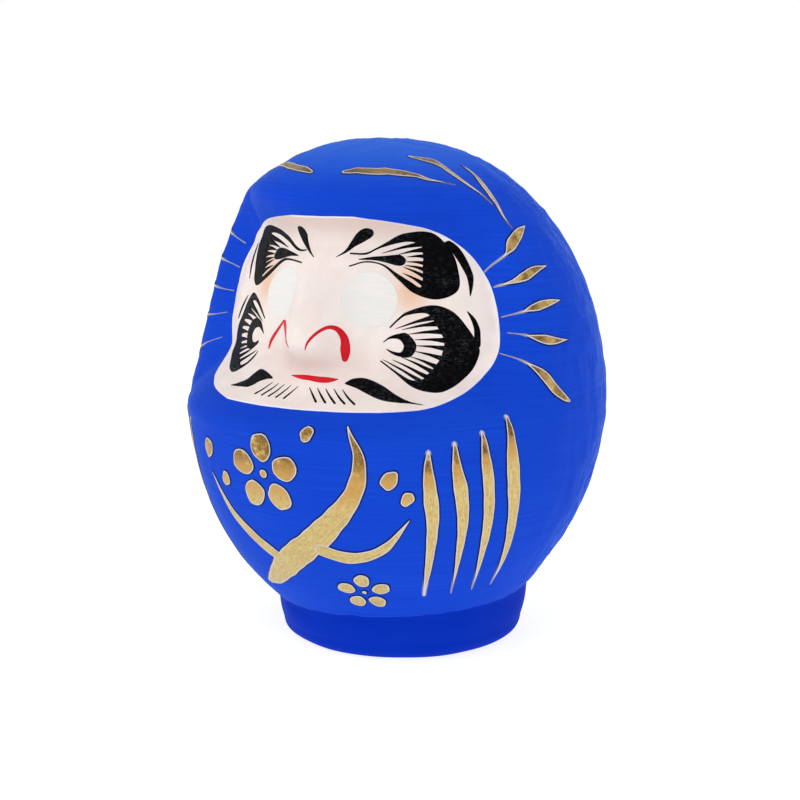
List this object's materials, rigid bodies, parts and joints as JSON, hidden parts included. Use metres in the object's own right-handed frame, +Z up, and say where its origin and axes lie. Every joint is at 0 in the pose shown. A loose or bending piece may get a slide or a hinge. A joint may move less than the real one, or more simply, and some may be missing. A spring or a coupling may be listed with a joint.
{
  "type": "daruma doll",
  "caption": "Round-bottomed papier-mache wishing doll with a hollow painted shell, recessed face with blank eyes, gold brushwork and a weighted clay foot",
  "frame": {"origin": "centre of the flat underside of the foot, on the surface the doll stands on", "axes": "+Z up through the crown; the doll faces -Y; its own left side is +X"},
  "size_m": [0.0925, 0.0923, 0.1096],
  "materials": {
    "body_paint": "matt blue poster paint brushed over moulded paper pulp",
    "foot_paint": "the same matt blue paint over smooth clay",
    "glue": "dried animal glue, slightly glossy",
    "card": "bare grey-brown card",
    "face_paint": "matt pale flesh ground paint with a peach tint beside the eyes",
    "eye_paint": "matt white paint",
    "ink": "black ink with a slight gloss",
    "red_paint": "satin red paint",
    "gold_paint": "brushed gold paint with a pale edge"
  },
  "bodies": {
    "root": {"paper_shell": "body_paint", "clay_base": "foot_paint", "base_glue": "glue", "bottom_card": "card", "face_panel": "face_paint", "eye_left": "eye_paint", "eye_right": "eye_paint", "brow_left": "ink", "brow_right": "ink", "temple_drop_left": "ink", "temple_drop_right": "ink", "beard_left": "ink", "beard_right": "ink", "moustache_left": "ink", "moustache_right": "ink", "chin_hairs_left": "ink", "chin_hairs_right": "ink", "nostril_left": "red_paint", "nostril_right": "red_paint", "lips": "red_paint", "gold_head_left": "gold_paint", "gold_head_right": "gold_paint", "gold_cheek_left": "gold_paint", "gold_cheek_right": "gold_paint", "gold_belly_left": "gold_paint", "gold_belly_right": "gold_paint", "belly_ornament": "gold_paint"}
  },
  "joints": []
}
